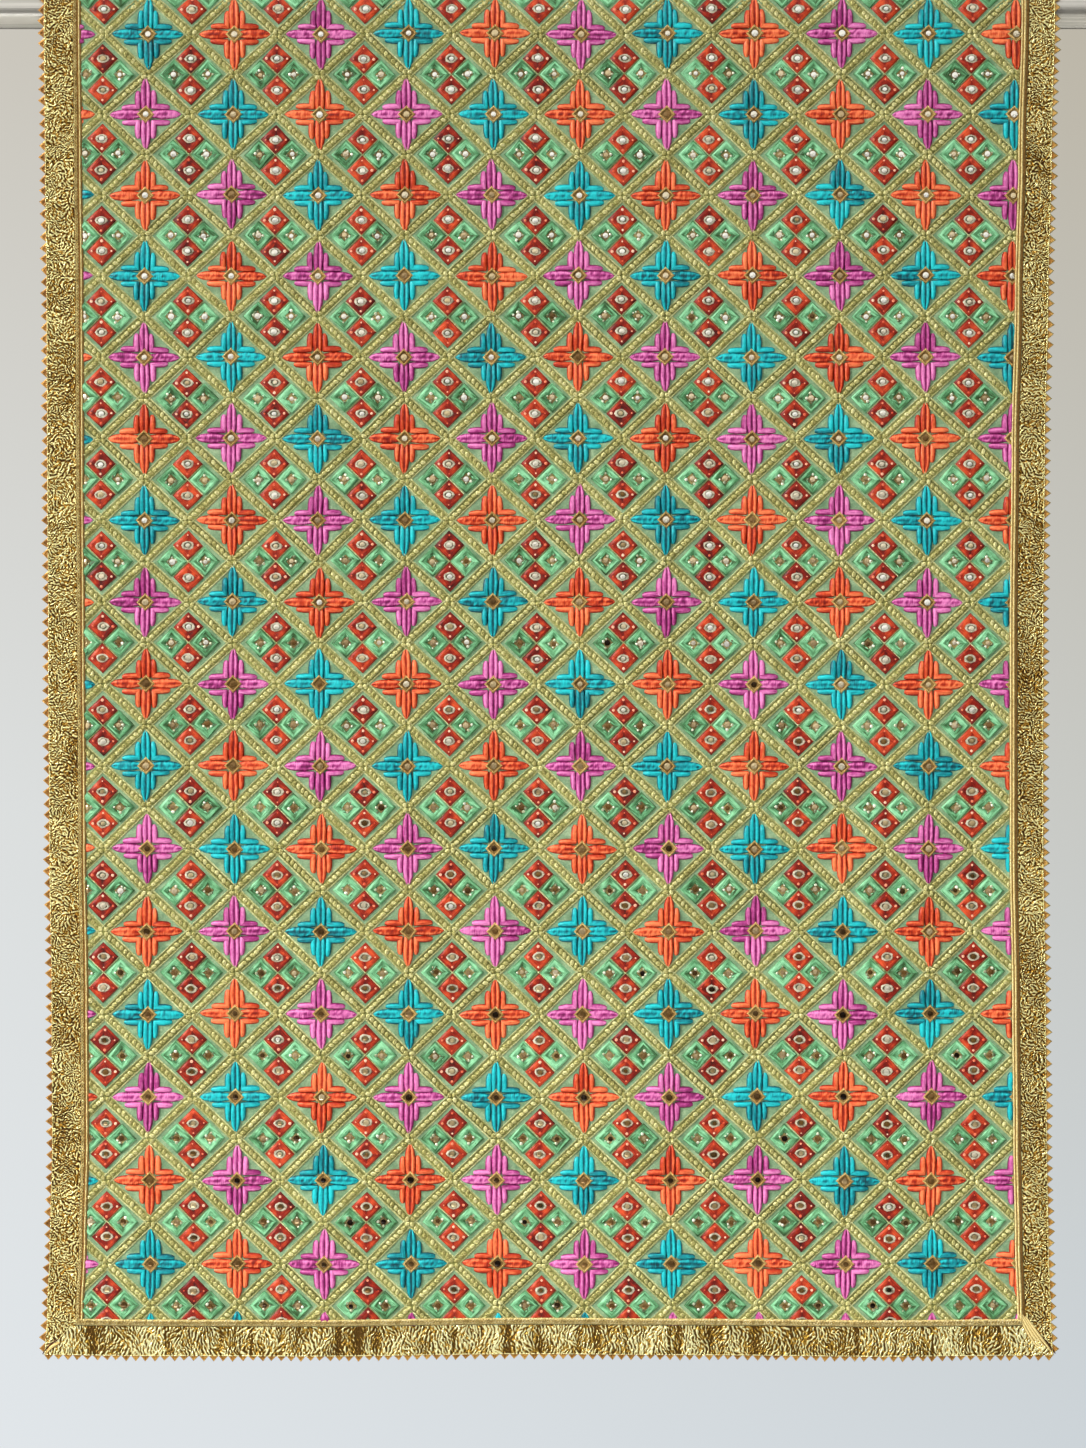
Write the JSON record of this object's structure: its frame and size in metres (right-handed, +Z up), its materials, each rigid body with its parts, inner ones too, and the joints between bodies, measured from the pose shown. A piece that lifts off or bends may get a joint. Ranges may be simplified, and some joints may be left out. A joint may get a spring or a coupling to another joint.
{
  "type": "mirror work dupatta on a pole",
  "caption": "Long embroidered dupatta with star and diamond mirror work and a toothed, crinkled gold ribbon border, folded over a plain round pole so that it hangs down both sides.",
  "frame": {"origin": "middle of the pole's axis, where the pole holds the dupatta up", "axes": "+X along the pole, to the right seen from in front; -Y out of the front drop; +Z up"},
  "size_m": [1.1, 0.0448, 1.2142],
  "materials": {
    "pole": "satin nickel, fine lengthwise brushing",
    "ground_cloth": "matt sage green net cloth with a fine even weave",
    "gold_ribbon": "shiny metallic gold gota ribbon, crinkled, with pointed teeth along its outer edge",
    "gold_braid": "satin metallic gold looped braid",
    "gold_thread": "pale gold corded thread",
    "teal_thread": "glossy floss in padded satin stitch",
    "orange_thread": "glossy floss in padded satin stitch",
    "magenta_thread": "glossy floss in padded satin stitch",
    "red_thread": "glossy floss in satin stitch",
    "mint_thread": "glossy floss in satin stitch",
    "mirror_glass": "small hand-cut mirrors, each held by a ring of thread"
  },
  "bodies": {
    "root": {"pole": "pole", "cloth_over_pole": "ground_cloth", "ribbon_left_over_pole": "gold_ribbon", "ribbon_right_over_pole": "gold_ribbon", "braid_left_over_pole": "gold_braid", "braid_right_over_pole": "gold_braid", "cloth_front": "ground_cloth", "ribbon_left_front": "gold_ribbon", "ribbon_right_front": "gold_ribbon", "ribbon_hem_front": "gold_ribbon", "braid_left_front": "gold_braid", "braid_right_front": "gold_braid", "braid_hem_front": "gold_braid", "cloth_back": "ground_cloth", "ribbon_left_back": "gold_ribbon", "ribbon_right_back": "gold_ribbon", "ribbon_hem_back": "gold_ribbon", "braid_left_back": "gold_braid", "braid_right_back": "gold_braid", "braid_hem_back": "gold_braid"}
  },
  "joints": []
}
